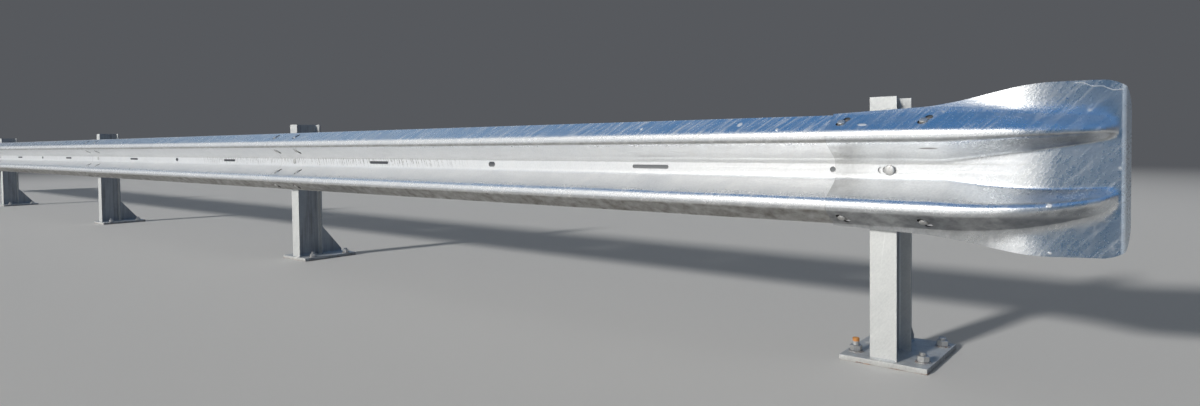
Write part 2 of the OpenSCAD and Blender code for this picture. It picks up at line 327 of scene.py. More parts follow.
def roadFilmAndShade(paint, height, down, torn):
    # Painted shade with road film under the lower crest, and a thin painted shade line under the upper one
    mark = filmAndShadeMarks
    filmAndShade = paint.ramp(down + torn * mark["downTorn"], *mark["down"])
    filmAndShade = filmAndShade * paint.fall(height + torn * mark["topTorn"], *mark["top"])
    line = paint.ramp(down + torn * mark["lineTorn"], *mark["lineFrom"])
    line = line * paint.fall(down, *mark["lineTo"]) * between(paint, height, mark["lineSpan"])
    return filmAndShade.atLeast(line * mark["line"]) * (mark["share"] + torn * mark["torn"])


def valleyDrips(paint, across, height, torn, crumbs):
    # Crumbled drip marks in the valley of the bays that lie lowest
    mark = dripMarks
    spots = paint.add("ShaderNodeTexVoronoi", {"voronoi_dimensions": "1D"}, {
        "W": across / mark["pitch"] + height * mark["lean"], "Randomness": mark["random"]}, "Distance")
    drips = paint.fall(spots + torn * mark["torn"] + crumbs * mark["crumbs"], *mark["span"])
    drips = drips * between(paint, height, mark["valley"]) * between(paint, across, mark["along"])
    return drips * paint.ramp(crumbs + height * mark["lean"], *mark["crumbled"])


def tailPaintedShadeAndSky(paint, out, down, torn, sheltered):
    # The fishtail's painted shade on its under sides and along the lap, and a painted sky reflection on the
    # lip past its fold
    mark = tailMarks
    part, ragged = mark["underShadeShare"]
    under = paint.ramp(out, *mark["shade"])
    under = under * paint.ramp(down + torn * mark["shadeTorn"], *mark["shadeDown"])
    under = under * (part + torn * ragged) * paint.fall(out, *mark["underShadeEnd"])
    part, ragged = lapMarks["shadeShare"]
    lapped = sheltered * paint.fall(out, *lapMarks["shade"]) * (part + torn * ragged)
    part, ragged = mark["lipShare"]
    # The lip's pale blue is a painted sky reflection, and its metal drops so that the colour shows
    folded = paint.ramp(out, *mark["foldAt"]) * (part + torn * ragged)
    return (under, mark["filmAndShade"]), (lapped.atLeast(0.0), filmAndShadeMarks["colour"]), (folded, mark["lip"])


def lapShadowLine(paint, across):
    # A thin painted shadow line on the sheet behind, where a lapping sheet ends. Such ends are a bay apart,
    # and the turns added bring each to the middle of a turn
    turns = (across - lapMarks["at"]) / run["bay"] + lapMarks["turns"]
    away = abs(turns.fraction() - 0.5) * run["bay"]
    return paint.fall(away, *lapMarks["line"]) * lapMarks["share"]


def makeSheetZinc(name, seed, fishtail=False):
    # The zinc of a beam or fishtail with its marks, painted shade and the lip's painted sky reflection
    paint, mark, dirtAndShadeGrey = Paint(name, seed), sheetMarks, filmAndShadeMarks["colour"]
    colour, rough, metal, relief = zincLayers(paint, tailLook if fishtail else sheetLook)
    across = paint.along(paint.place, (1 / mm, 0, 0))
    height = paint.along(paint.place, (0, 0, 1 / mm)) - beamZ
    down = paint.facing((0, 0, -1))
    torn, crumbs = (paint.pattern(**mark[k]) - 0.5 for k in ("torn", "crumbs"))
    filmAndShade = roadFilmAndShade(paint, height, down, torn)
    drips = valleyDrips(paint, across, height, torn, crumbs)
    sheltered = between(paint, height, mark["sheltered"])
    # A thin painted shade line along the upper crease of the valley
    at, wide = mark["creaseShade"]
    creaseShade = thinLine(paint, abs(height + torn * mark["creaseShadeTorn"] - at), wide)
    shift = torn * mark["blobTorn"]
    lights = [oval(paint, across + shift, height + shift, (x, z), (size, size * mark["blobFlat"]))
              for x, z, size in mark["blobs"]]
    # Painted shades and sky reflection lie under the crease's painted shade and the drips, grime lies over
    # them
    if fishtail:
        out = abs(across)
        matt = sheltered * paint.fall(out, *tailMarks["mattTo"]) * tailMarks["matt"]
        creaseShade = creaseShade * paint.fall(out, *tailMarks["shade"])
        paintedLight = tailPaintedShadeAndSky(paint, out, down, torn, sheltered)
        metal = metal - paintedLight[-1][0] * tailMarks["lipMetal"]
        scratch = oval(paint, across, height, *tailMarks["scratch"])
        grime = [(scratch * tailMarks["scratchShare"], grimeColour)]
        lean = (height - tailMarks["chip"][0][1]) * tailMarks["chipLean"]
        lights += [oval(paint, across + lean, height, *tailMarks["chip"]), zincRun(paint, across, height)]
    else:
        matt = sheltered * mark["mattShare"]
        paintedLight, grime = [(lapShadowLine(paint, across), dirtAndShadeGrey)], []
    light = lights[0]
    for other in lights[1:]:
        light = light.atLeast(other)
    # dirt holds the drips and the film with its painted shade
    pale, dirt = light * mark["lightShare"], filmAndShade.atLeast(drips)
    colour = paint.cover(colour, (matt, mark["matt"]), (filmAndShade, tailMarks["tailFilmAndShade"] if fishtail else dirtAndShadeGrey),
                         *paintedLight, (creaseShade * mark["creaseShadeShare"], dirtAndShadeGrey), (drips * dripMarks["share"], dirtAndShadeGrey),
                         *grime, (pale, mark["light"]))
    return paint.finish(colour, rough + matt * mark["mattRough"] + dirt * mark["dirtRough"],
                        metal - matt - dirt * mark["dirtMetal"] - pale, relief + light * mark["lightRise"])


# Post and plate: dirt up to 22 mm, rust up to about 2 mm, and painted shade on the faces beside the web
postMarks = {
    "dirtTop": 22 * mm, "dirt": {"scale": 38.0}, "dirtUneven": 1.4,
    "dirtLow": 0.05, "dirtShare": 0.36, "dirtRough": 0.3, "mostDirt": 0.8,
    "splash": {"scale": 130.0, "detail": 4.0, "rough": 0.7, "span": (0.56, 0.68)}, "splashTop": 5,
    "splashShare": 0.16, "rustTop": 2.2 * mm, "rust": {"scale": 16.0, "detail": 6.0, "rough": 0.75},
    "rustMiddle": 0.46, "rustUneven": 9, "rustShare": 0.85,
    "tone": {"scale": 55.0, "detail": 4.0, "rough": 0.6, "span": (0.45, 0.70)}, "side": (0.45, 0.85),
    "sideShadeShare": 0.92, "pale": (0.35, 0.38, 0.41), "dark": (0.14, 0.14, 0.145),
    "stains": {"stretch": (48, 48, 3), "span": (0.42, 0.70)},
    "mottle": {"scale": 42.0}, "sideMix": (0.6, 0.4),
}


def makePostZinc(name):
    # Dirt splashed up from the ground, a thin rusty line where the plate meets it, and painted shade beside
    # the web
    paint, mark = Paint(name), postMarks
    dirtTop, rustTop = mark["dirtTop"], mark["rustTop"]
    colour, rough, metal, relief = zincLayers(paint, postLook)
    height = paint.along(paint.place, (0, 0, 1))
    ragged = height + (paint.pattern(**mark["dirt"]) - 0.5) * (dirtTop * mark["dirtUneven"])
    splash = paint.pattern(**mark["splash"]) * paint.fall(height, dirtTop, dirtTop * mark["splashTop"])
    dirt = paint.fall(ragged, dirtTop * mark["dirtLow"], dirtTop)
    dirt = (dirt * mark["dirtShare"] + splash * mark["splashShare"]).atMost(mark["mostDirt"])
    ragged = height + (paint.pattern(**mark["rust"]) - mark["rustMiddle"]) * (rustTop * mark["rustUneven"])
    rusty = paint.fall(ragged, 0, rustTop) * mark["rustShare"]
    rust = paint.mix(paint.pattern(**mark["tone"]), rustLook["dark"], rustLook["light"])
    # Painted shade: faces turned along the run take a dark bluish grey, streaked with stains
    side = paint.ramp(abs(paint.facing((1, 0, 0))), *mark["side"]) * mark["sideShadeShare"]
    stains = weighted([paint.pattern(**mark[k]) for k in ("stains", "mottle")], mark["sideMix"])
    sides = paint.mix(stains, mark["pale"], mark["dark"])
    colour = paint.cover(colour, (dirt, grimeColour), (side, sides), (rusty, rust))
    covered = dirt.atLeast(rusty)
    return paint.finish(colour, rough + covered * mark["dirtRough"], metal * (1 - covered), relief)


boltMarks = {
    "tarnish": {"scale": 70.0, "detail": 5.0, "rough": 0.7}, "tarnishSpan": (0.66, 0.72), "tarnishRise": 0.3,
    "tarnishShare": 0.4, "tarnishRough": 0.2, "tarnishMetal": 0.5,
}


def makeBoltZinc(name, amount):
    # Zinc of bolts, tarnished by an amount from 0 to 1
    paint, mark = Paint(name), boltMarks
    colour, rough, metal, relief = zincLayers(paint, boltLook)
    low, high = mark["tarnishSpan"]
    tarnish = paint.ramp(paint.pattern(**mark["tarnish"]), low - amount * mark["tarnishRise"], high)
    colour = paint.mix(tarnish * (mark["tarnishShare"] * (1 + amount)), colour, rustLook["dark"])
    rough, metal = rough + tarnish * mark["tarnishRough"], metal - tarnish * mark["tarnishMetal"]
    return paint.finish(colour, rough, metal, relief)


endMarks = {
    "patches": {"scale": 160.0},
    "speck": {"scale": 620.0, "detail": 3.0, "rough": 0.6}, "toneMix": (0.7, 0.3), "toneSpan": (0.30, 0.56),
    "uneven": 8 * mm, "soft": 3 * mm, "rough": (0.35, 0.1), "bareRough": 0.40, "bareMetal": 0.6,
    "relief": (0.5, 0.5), "depth": 0.5 * mm, "strength": 0.6,
}


def makeRustyEnd(name, rustFrom):
    # A cut bolt end: bare steel rusts from rustFrom upwards, zinc stays below it
    paint, mark = Paint(name), endMarks
    height = paint.along(paint.place, (0, 0, 1))
    patches, speck = paint.pattern(**mark["patches"]), paint.pattern(**mark["speck"])
    tone = paint.ramp(weighted((patches, speck), mark["toneMix"]), *mark["toneSpan"])
    rusty = paint.ramp(height + (patches - 0.5) * mark["uneven"], rustFrom, rustFrom + mark["soft"])
    colour = paint.mix(rusty, boltLook["bright"], paint.mix(tone, rustLook["light"], rustLook["fresh"]))
    return paint.finish(colour, weighted((rusty, speck), mark["rough"]) + mark["bareRough"],
                        (1 - rusty) * mark["bareMetal"], weighted((speck, patches), mark["relief"]),
                        mark["depth"], mark["strength"])


# The hole walls' near black is painted shade; its dirt noise only mottles it
holeLook = {
    "dirt": {"scale": 90.0, "span": (0.35, 0.65)}, "dark": (0.03, 0.03, 0.03),
    "pale": (0.10, 0.10, 0.10), "rough": 0.75, "metal": 0.2,
}


def makeHoleWallShade(name):
    # Walls of the punched holes: duller, near black as painted shade, mottled by a noise
    paint, look = Paint(name), holeLook
    colour = paint.mix(paint.pattern(**look["dirt"]), look["dark"], look["pale"])
    return paint.finish(colour, look["rough"], look["metal"])


sheetZincs = [makeSheetZinc(f"sheetZinc{k + 1}", k) for k in range(2)]
tailZinc = makeSheetZinc("tailZinc", 2, True)
postZinc = makePostZinc("postZinc")
boltZinc = makeBoltZinc("boltZinc", 0.25)
washerZinc = makeBoltZinc("washerZinc", 0.9)
holeWallShade = makeHoleWallShade("holeWallShade")


# Mesh helpers; joined is how close verts have to be to become one
joined = {"cut": 0.001 * mm, "fine": 0.005 * mm, "usual": 0.01 * mm, "wide": 0.02 * mm}


def place(x, y, z):
    return Matrix.Translation(Vector((x, y, z)) * mm)


def turn(axis, angle):
    return Matrix.Rotation(radians(angle), 4, axis)


def asMesh(bm, name):
    mesh = bpy.data.meshes.new(name)
    bm.to_mesh(mesh)
    bm.free()
    return mesh


def asObject(mesh, name):
    piece = bpy.data.objects.new(name, mesh)
    bpy.context.scene.collection.objects.link(piece)
    return piece


def newVerts(grown):
    return [g for g in grown if isinstance(g, bmesh.types.BMVert)]


def nextVert(bm, vert):
    return bmesh.ops.extrude_vert_indiv(bm, verts=[vert])["verts"][0]


def joinVerts(bm, near):
    bmesh.ops.remove_doubles(bm, verts=bm.verts[:], dist=joined[near])


def turnOut(bm):
    bmesh.ops.recalc_face_normals(bm, faces=bm.faces[:])


def softenFaces(mesh, angle):
    mesh.shade_smooth()
    mesh.set_sharp_from_angle(angle=radians(angle))


def dressPiece(bm, name, material, replaced=(), angle=30):
    piece = asObject(asMesh(bm, name), name)
    piece.data.materials.append(material)
    softenFaces(piece.data, angle)
    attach(piece, "root")
    for node in replaced:
        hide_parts(node)
    return piece


def bake(piece, angle=30):
    # Writes the modifiers into the mesh
    graph = bpy.context.evaluated_depsgraph_get()
    made = bpy.data.meshes.new_from_object(piece.evaluated_get(graph))
    old, piece.data = piece.data, made
    piece.modifiers.clear()
    bpy.data.meshes.remove(old)
    softenFaces(made, angle)  # under a bevel's own steps, so that flat faces stay flat


def shape(piece, bm, kind, wall=None):
    # Cuts a shape out of a piece, or keeps what they share; cut walls take the wall material
    tool = asObject(asMesh(bm, "tool"), "tool")
    cut = piece.modifiers.new("cut", "BOOLEAN")
    cut.operation, cut.solver, cut.object = kind, "EXACT", tool
    if wall:
        tool.data.materials.append(wall)
        cut.material_mode = "TRANSFER"
    bake(piece)
    bpy.data.objects.remove(tool)


def thicken(piece, thick):
    solid = piece.modifiers.new("thick", "SOLIDIFY")
    solid.thickness, solid.offset, solid.use_even_offset = thick, 0.0, True
    bake(piece)


def roundEdges(piece, width, angle=50, soften=15):
    worn = piece.modifiers.new("worn", "BEVEL")
    worn.width, worn.segments = width, 2
    worn.limit_method, worn.angle_limit = "ANGLE", radians(angle)
    bake(piece, soften)


print("stage: beams")
sheet = {
    "thick": 3, "height": 310, "depth": 83, "crestZ": 97, "valleyZ": 14.4, "bendR": 25.5, "flank": 55,
    "lipR": 9, "lipSlope": 36, "lipLen": 2, "edge": 0.45, "steps": (8, 18, 5),
}
holes = {
    "column": 108, "splice": (46, 19), "slant": 55, "post": (32, 18), "tailPost": (54, 18),
    "mid": (38, 20), "long": (150, 13), "longAt": (0.25, 0.75), "side": (16, 16), "sideGap": 11, "reach": 9,
    "sides": 28,
}
steel = {"width": 73, "depth": 140, "web": 4.7, "flange": 6.9, "root": 7, "bolt": 20, "plateTop": 15}
half = sheet["thick"] / 2
flank = radians(sheet["flank"])
lipSlope = radians(sheet["lipSlope"])
nest = (sheet["thick"] + run["seat"]) / cos(flank)
yaw = math.degrees(math.atan(nest / run["bay"]))
back = (steel["width"] / 2 - run["splice"]) * nest / run["bay"]


def onArc(centre, radius, angle):
    return centre[0] + radius * cos(angle), centre[1] + radius * sin(angle)


def midway(a, b):
    return (a[0] + b[0]) / 2, (a[1] + b[1]) / 2


# Middle line of the section's upper half, as (y, z)
valleyC = (-half - sheet["bendR"], sheet["valleyZ"])
crestC = (-sheet["depth"] + half + sheet["bendR"], sheet["crestZ"])
valleyOut = onArc(valleyC, sheet["bendR"], flank)
crestIn = onArc(crestC, sheet["bendR"], pi + flank)
crestOut = onArc(crestC, sheet["bendR"], pi - flank)
lipRise = sheet["lipR"] * (sin(flank) - sin(lipSlope)) + sheet["lipLen"] * cos(lipSlope)
lipZ = (sheet["height"] - sheet["thick"] * sin(lipSlope)) / 2 - lipRise
lipStart = (crestOut[0] + (lipZ - crestOut[1]) * math.tan(flank), lipZ)
lipC = (lipStart[0] - sheet["lipR"] * cos(flank), lipStart[1] + sheet["lipR"] * sin(flank))
lipBent = onArc(lipC, sheet["lipR"], -lipSlope)
lipEdge = onArc(lipBent, sheet["lipLen"], pi / 2 - lipSlope)
innerMid, outerMid = midway(valleyOut, crestIn), midway(crestOut, lipStart)


def postX(i):
    return (i - (run["posts"] - 1) / 2) * run["bay"]


def splicePlace(i, layer=1):
    # Frame of the splice at post i; layer 1 is the front sheet there and 0 the rear one
    return place(postX(i) + run["splice"], -nest * layer - back, beamZ) @ turn("Z", yaw)


def runTo(bm, vert, point):
    grown = nextVert(bm, vert)
    grown.co = (0, point[0] * mm, point[1] * mm)
    return grown


def bendRound(bm, vert, centre, angle, steps):
    spun = bmesh.ops.spin(bm, geom=[vert], cent=(0, centre[0] * mm, centre[1] * mm), axis=(1, 0, 0),
                          dvec=(0, 0, 0), angle=angle, steps=steps, use_duplicate=False)
    return newVerts(spun["geom_last"])[0]


def drawSection(bm, steps, withEnds=True):
    # From the valley's middle up to the lip, then mirrored downwards
    vert = runTo(bm, bm.verts.new((0, -half * mm, 0)), (-half, sheet["valleyZ"]))
    vert = bendRound(bm, vert, valleyC, flank, steps[0])
    vert = runTo(bm, vert, crestIn)
    vert = bendRound(bm, vert, crestC, -2 * flank, steps[1])
    vert = runTo(bm, vert, lipStart)
    vert = bendRound(bm, vert, lipC, flank - lipSlope, steps[2])
    if withEnds:
        runTo(bm, vert, lipEdge)
    bmesh.ops.mirror(bm, geom=bm.verts[:] + bm.edges[:], axis="Z", merge_dist=joined["usual"])
    joinVerts(bm, "usual")


def addSlot(bm, size, where):
    # A slot's cutter: a circle pulled apart along X and extruded through the sheet
    length, width = size
    start = place(0, 0, -holes["reach"]) @ turn("Z", 180 / holes["sides"])
    made = bmesh.ops.create_circle(bm, cap_ends=True, segments=holes["sides"], radius=width / 2 * mm,
                                   matrix=start)["verts"]
    for vert in made:
        vert.co.x += math.copysign((length - width) / 2 * mm, vert.co.x)
    grown = bmesh.ops.extrude_face_region(bm, geom=list({f for v in made for f in v.link_faces}))["geom"]
    top = newVerts(grown)
    bmesh.ops.translate(bm, verts=top, vec=(0, 0, 2 * holes["reach"] * mm))
    bmesh.ops.transform(bm, matrix=where, verts=made + top)
    bmesh.ops.recalc_face_normals(bm, faces=list({f for v in made + top for f in v.link_faces}))


def onFlank(x, spot, hand=1):
    # Frame of a splice slot: Z square to the flank, X along the slot, away from the crest
    mid, side, up = spot
    tilt = turn("X", up * (90 - sheet["flank"]))
    return place(x, mid[0], side * mid[1]) @ tilt @ turn("Z", hand * holes["slant"])


def inValley(x):
    return place(x, -half, 0) @ turn("X", 90)


def spliceSpots(withInner=True):
    # The flanks that carry splice bolts: (middle, side, 1 where the flank climbs to the back)
    inner = [(innerMid, -1, 1), (innerMid, 1, -1)]
    return [(outerMid, -1, -1), (outerMid, 1, 1)] + (inner if withInner else [])


def makeBeam(i):
    bm = bmesh.new()
    drawSection(bm, sheet["steps"])
    bmesh.ops.translate(bm, verts=bm.verts[:], vec=(-run["lap"] / 2 * mm, 0, 0))
    grown = bmesh.ops.extrude_edge_only(bm, edges=bm.edges[:])["geom"]
    bmesh.ops.translate(bm, verts=newVerts(grown), vec=((run["bay"] + run["lap"]) * mm, 0, 0))
    turnOut(bm)
    zinc = sheetZincs[(i + 1) % len(sheetZincs)]
    piece = dressPiece(bm, f"beam_skin_{i + 1}", zinc, [f"beam_{i + 1}"])
    thicken(piece, sheet["thick"] * mm)
    cutter = bmesh.new()
    for x in (0, run["bay"]):
        for dx in (-holes["column"], holes["column"]):
            for spot in spliceSpots():
                addSlot(cutter, holes["splice"], onFlank(x + dx, spot))
        addSlot(cutter, holes["post"], inValley(x))
    addSlot(cutter, holes["mid"], inValley(run["bay"] / 2))
    for part in holes["longAt"]:
        addSlot(cutter, holes["long"], inValley(run["bay"] * part))
    if i == run["posts"] - 2:
        addSlot(cutter, holes["side"], inValley(run["bay"] - run["lap"] / 2 - holes["sideGap"]))
    shape(piece, cutter, "DIFFERENCE", holeWallShade)
    roundEdges(piece, sheet["edge"] * mm)
    piece.data.transform(splicePlace(i))


for i in range(run["posts"] - 1):
    makeBeam(i)

print("stage: fishtails")
tail = {
    "length": 562, "corner": 78, "ease": (3, 13), "flare": 41, "flareSpan": (92, 382),
    "rise": 8, "riseSpan": (80, 480), "drift": (40, 5), "driftEase": 2.2,
    "left": (0.38, 0.56), "leftEase": (1.16, 1.7), "fadeTo": 505, "flatten": (474, 524),
    "way": ((288, 0), (110, 15), (126, 0), (10, 60), (562, 0)), "edgeSteps": 9, "edgePower": 1.6,
    "stations": 34, "extra": (60, 120), "bends": (5, 10, 15, 20, 25, *range(43, 91, 5)), "foldSteps": 8,
    "softening": (13, 40), "softSpan": (150, 330), "scoop": 0.9, "flankDeep": 15, "flankCuts": 6,
    "steps": (7, 16, 4),
}


def partWay(s, low, high):
    return min(1.0, max(0.0, (s - low) / (high - low)))


def ease(s, low, high):
    t = partWay(s, low, high)
    return t * t * (3 - 2 * t)


def tailWay(s):
    # Where a station lies seen from above, and its heading
    x = y = heading = 0.0
    for length, bend in tail["way"]:
        step = min(s, length)
        angle = radians(bend) * step / length
        if bend:
            radius = length / radians(bend)
            x += radius * (sin(heading + angle) - sin(heading))
            y -= radius * (cos(heading + angle) - cos(heading))
        else:
            x += step * cos(heading)
            y += step * sin(heading)
        heading += angle
        s -= step
    return x, y, heading


def tailPoint(s, y, z, out):
    # A section point carried to station s; out runs from 0 at a hump's foot to 1 at the edge
    fade = partWay(s, run["lap"] / 2, tail["fadeTo"])
    inner, outer = (1 - (1 - left) * fade ** late for left, late in zip(tail["left"], tail["leftEase"]))
    deep = (inner + outer) / 2 * (1 - ease(s, *tail["flatten"]))
    side = 1 if z > 0 else -1
    rise = tail["rise"] * ease(s, *tail["riseSpan"])
    crest = side * sheet["crestZ"] + fade ** tail["driftEase"] * tail["drift"][z > 0]
    width = inner if abs(z) < sheet["crestZ"] else outer
    newZ = crest + side * (abs(z) - sheet["crestZ"]) * width if abs(z) > 0.01 else rise
    # The inner flanks hollow out towards the end, so their foot turns soft
    hollow = 1 + tail["scoop"] * fade if abs(z) < sheet["crestZ"] else 1
    span = sheet["depth"] - sheet["thick"]
    newY = -half - span * deep * (-(y + half) / span) ** hollow
    over = max(0, s - tail["length"] + tail["corner"])
    corner = tail["corner"] - math.sqrt(max(0, tail["corner"] ** 2 - over ** 2))
    widening = tail["ease"][0] + tail["ease"][1] * partWay(s, -run["lap"] / 2, run["lap"] / 2)
    widening += tail["flare"] * ease(s, *tail["flareSpan"])
    reach = rise + side * (sheet["height"] / 2 + widening - corner) - newZ
    # Past the hump's foot the sheet leans back as the lip does, then straightens softly
    soft = tail["softening"][0] + tail["softening"][1] * (1 - ease(s, *tail["softSpan"]))
    newY += math.tan(lipSlope) * deep / outer * soft * (1 - math.exp(-abs(out * reach) / soft))
    newZ += out * reach
    x, wayY, heading = tailWay(s)
    return Vector((x - newY * sin(heading), wayY + newY * cos(heading), newZ)) * mm


def tailStations():
    lap, corner = run["lap"] / 2, tail["length"] - tail["corner"]
    fold = sum(length for length, bend in tail["way"][:3])
    stations = [-lap, 0, tail["flareSpan"][0], *tail["extra"], tail["length"]]
    stations += [lap + (corner - lap) * k / tail["stations"] for k in range(tail["stations"] + 1)]
    stations += [corner + tail["corner"] * sin(radians(a)) for a in tail["bends"]]
    stations += [fold + tail["way"][3][0] * k / tail["foldSteps"] for k in range(tail["foldSteps"] + 1)]
    return sorted({round(s, 3) for s in stations})


def growRow(bm, row):
    # Extrudes a row of edges and gives the new verts and the new row
    grown = bmesh.ops.extrude_edge_only(bm, edges=row)["geom"]
    fresh = set(newVerts(grown))
    return fresh, [g for g in grown if isinstance(g, bmesh.types.BMEdge) and set(g.verts) <= fresh]


def drawTailRows(bm):
    # Rows of the flared sheet: each station is the row before it, extruded and carried on
    column = bm.verts.layers.int.new("column")
    drawSection(bm, tail["steps"], withEnds=False)
    flanks = [e for e in bm.edges if abs(e.verts[0].co.y - e.verts[1].co.y) > tail["flankDeep"] * mm]
    bmesh.ops.subdivide_edges(bm, edges=flanks, cuts=tail["flankCuts"])
    foots = [v for v in bm.verts if len(v.link_edges) == 1]
    base = []
    for vert in bm.verts:
        vert[column] = len(base)
        base.append((vert.co.y / mm, vert.co.z / mm, 0.0))
    for foot in foots:
        start, vert = base[foot[column]], foot
        for k in range(tail["edgeSteps"]):
            vert = nextVert(bm, vert)
            vert[column] = len(base)
            base.append((start[0], start[1], ((k + 1) / tail["edgeSteps"]) ** tail["edgePower"]))
    row, fresh = bm.edges[:], set(bm.verts)
    for k, s in enumerate(tailStations()):
        if k:
            fresh, row = growRow(bm, row)
        for vert in fresh:
            vert.co = tailPoint(s, *base[vert[column]])
    joinVerts(bm, "fine")
    turnOut(bm)


def makeFishtail(name, node, where, hand):
    # A left-handed one is mirrored, so its slots are first turned the other way
    bm = bmesh.new()
    drawTailRows(bm)
    piece = dressPiece(bm, name, tailZinc, [node])
    thicken(piece, sheet["thick"] * mm)
    cutter = bmesh.new()
    for dx in (-holes["column"], holes["column"]):
        for spot in spliceSpots(withInner=False):
            addSlot(cutter, holes["splice"], onFlank(dx, spot, hand))
    addSlot(cutter, holes["tailPost"], inValley(0))
    shape(piece, cutter, "DIFFERENCE", holeWallShade)
    roundEdges(piece, sheet["edge"] * mm)
    if hand < 0:
        piece.data.transform(Matrix.Scale(-1, 4, (1, 0, 0)))
        piece.data.flip_normals()
    piece.data.transform(where)


makeFishtail("fishtail_skin_right", "fishtail_right", splicePlace(run["posts"] - 1), 1)
makeFishtail("fishtail_skin_left", "fishtail_left", splicePlace(0, 0), -1)

print("stage: posts and feet")
worn = {"width": {"post": 0.9, "base_plate": 1.0, "gusset": 0.8}, "flat": 1, "angle": 40, "soften": 20}


def wornCopy(part, i):
    # A copy of a steel piece, cleaned and with its edges rounded
    node = f"{part}_{i + 1}"
    bm = bmesh.new()
    bm.from_mesh(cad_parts[node].data)
    joinVerts(bm, "wide")
    bmesh.ops.dissolve_limit(bm, angle_limit=radians(worn["flat"]), verts=bm.verts[:], edges=bm.edges[:])
    piece = dressPiece(bm, f"{part}_steel_{i + 1}", postZinc, [node])
    roundEdges(piece, worn["width"][part] * mm, worn["angle"], worn["soften"])


for i in range(run["posts"]):
    for part in worn["width"]:
        wornCopy(part, i)

print("stage: bolts")
# Shares of a nut's width: flat face, corner, mouth and throat; the rest in millimetres
shapes = {
    "rim": 1.6, "lead": 0.6, "washer": (0.3, 0.5, 0.4), "nut": (0.475, 0.60, 0.30, 0.27), "slope": 0.55,
    "dimple": 1.2, "over": 0.01, "tooth": ((0.12, 0), (0.44, 1), (0.68, 1), (1.0, 0)),
}


def turned(bm, outline, steps=32):
    # Turns an outline of (radius, height) points into a round part
    vert = bm.verts.new((outline[0][0] * mm, 0, outline[0][1] * mm))
    for radius, height in outline[1:]:
        vert = nextVert(bm, vert)
        vert.co = (radius * mm, 0, height * mm)
    bmesh.ops.spin(bm, geom=bm.verts[:] + bm.edges[:], cent=(0, 0, 0), axis=(0, 0, 1), dvec=(0, 0, 0),
                   angle=2 * pi, steps=steps, use_merge=True, use_duplicate=False)
    joinVerts(bm, "usual")
    turnOut(bm)


def makeButton(head, shank):
    # Domed head with a thin rim, its underside at height 0, on a plain shank
    radius, height = head
    shankR, length = shank
    rim, lead = shapes["rim"], shapes["lead"]
    arc = [radians(a) for a in range(0, 91, 10)]
    outline = [(radius * sin(a), rim + (height - rim) * cos(a)) for a in arc]
    outline += [(radius, lead), (radius - lead, 0), (shankR, 0), (shankR, -length), (0, -length)]
    bm = bmesh.new()
    turned(bm, outline)
    return asMesh(bm, "button")


def makeWasher(radius, bore, thick):
    bm = bmesh.new()
    inside, edge, drop = shapes["washer"]
    turned(bm, [(bore, inside), (bore + inside, 0), (radius - edge, 0), (radius, drop),
                (radius, thick - drop), (radius - edge, thick), (bore + inside, thick),
                (bore, thick - inside), (bore, inside)])
    return asMesh(bm, "washer")


def makeNut(across, height):
    # A hexagonal prism cut by a turned blank, which leaves the chamfered corners
    bm = bmesh.new()
    bmesh.ops.create_circle(bm, cap_ends=True, segments=6, radius=across / math.sqrt(3) * mm)
    grown = bmesh.ops.extrude_face_region(bm, geom=bm.faces[:])["geom"]
    bmesh.ops.translate(bm, verts=newVerts(grown), vec=(0, 0, height * mm))
    turnOut(bm)
    nut = asObject(asMesh(bm, "nut"), "nut")
    face, corner, mouth, throat = (across * part for part in shapes["nut"])
    slope, bottom, top = (corner - face) * shapes["slope"], -shapes["over"], height + shapes["over"]
    dimple = height - shapes["dimple"]
    blank = bmesh.new()
    turned(blank, [(0, bottom), (face, bottom), (corner, slope), (corner, height - slope), (face, top),
                   (mouth, top), (throat, dimple), (0, dimple)], 48)
    shape(nut, blank, "INTERSECT")
    mesh = nut.data
    bpy.data.objects.remove(nut)
    return mesh


def makeThread(radius, pitch, depth, length, steps=24):
    # The tooth's outline repeated up the rod, turned with a rise of one pitch and cut level
    bm = bmesh.new()
    vert = bm.verts.new((radius * mm, 0, -pitch * mm))
    for tooth in range(math.ceil(length / pitch) + 2):
        for part, low in shapes["tooth"]:
            vert = nextVert(bm, vert)
            vert.co = ((radius - depth * low) * mm, 0, (tooth - 1 + part) * pitch * mm)
    bmesh.ops.spin(bm, geom=bm.verts[:] + bm.edges[:], cent=(0, 0, 0), axis=(0, 0, 1),
                   dvec=(0, 0, -pitch / steps * mm), angle=2 * pi, steps=steps, use_duplicate=False)
    joinVerts(bm, "wide")
    for height, side in ((0, -1), (length, 1)):
        whole = bm.verts[:] + bm.edges[:] + bm.faces[:]
        bmesh.ops.bisect_plane(bm, geom=whole, plane_co=(0, 0, height * mm), plane_no=(0, 0, side),
                               clear_outer=True, dist=joined["cut"])
        level = {v for v in bm.verts if abs(v.co.z - height * mm) < joined["usual"]}
        bmesh.ops.contextual_create(bm, geom=[e for e in bm.edges if e.is_boundary and set(e.verts) <= level])
    turnOut(bm)
    return asMesh(bm, "thread")


def gather(name, parts, material, angle=35):
    # One piece from copies of small meshes, each with its place
    bm = bmesh.new()
    for mesh, where in parts:
        known = len(bm.verts)
        bm.from_mesh(mesh)
        bm.verts.ensure_lookup_table()
        bmesh.ops.transform(bm, matrix=where, verts=bm.verts[known:])
    return dressPiece(bm, name, material, angle=angle)


def anyTurn():
    return turn("Z", rng.uniform(0, 360))


def makeSet(bolt):
    # Button, washer, nut and threaded rod of one kind of bolt; the tip shows past the nut
    length = bolt["washer"][2] + bolt["nut"][1] + bolt["tip"]
    return (makeButton(bolt["head"], bolt["shank"]), makeWasher(*bolt["washer"]), makeNut(*bolt["nut"]),
            makeThread(bolt["shank"][0], bolt["pitch"], bolt["thread"], length))


